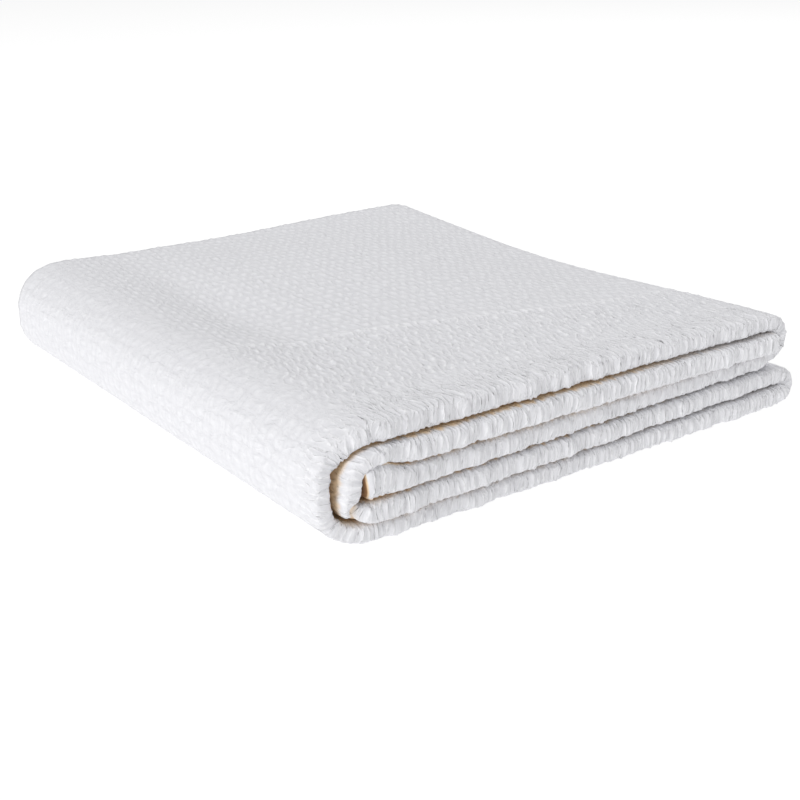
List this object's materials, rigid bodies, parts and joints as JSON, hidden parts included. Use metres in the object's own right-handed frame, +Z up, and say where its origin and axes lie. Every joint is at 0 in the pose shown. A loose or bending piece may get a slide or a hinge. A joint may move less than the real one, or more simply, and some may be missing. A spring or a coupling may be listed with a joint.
{
  "type": "folded matelasse coverlet",
  "caption": "White matelasse coverlet with a puckered woven surface, folded into a flat rectangular stack with a round spine on one side and open folds on the other.",
  "frame": {"origin": "middle of the footprint, on the surface that the folded coverlet lies on", "axes": "+X from the round spine to the open folds, +Y from the face that shows the folded layers to the opposite one, +Z up"},
  "size_m": [0.498, 0.5316, 0.0911],
  "materials": {
    "matelasse_cotton": "matt bleached cotton, woven with small puckered cells"
  },
  "bodies": {
    "root": {"coverlet": "matelasse_cotton"}
  },
  "joints": []
}
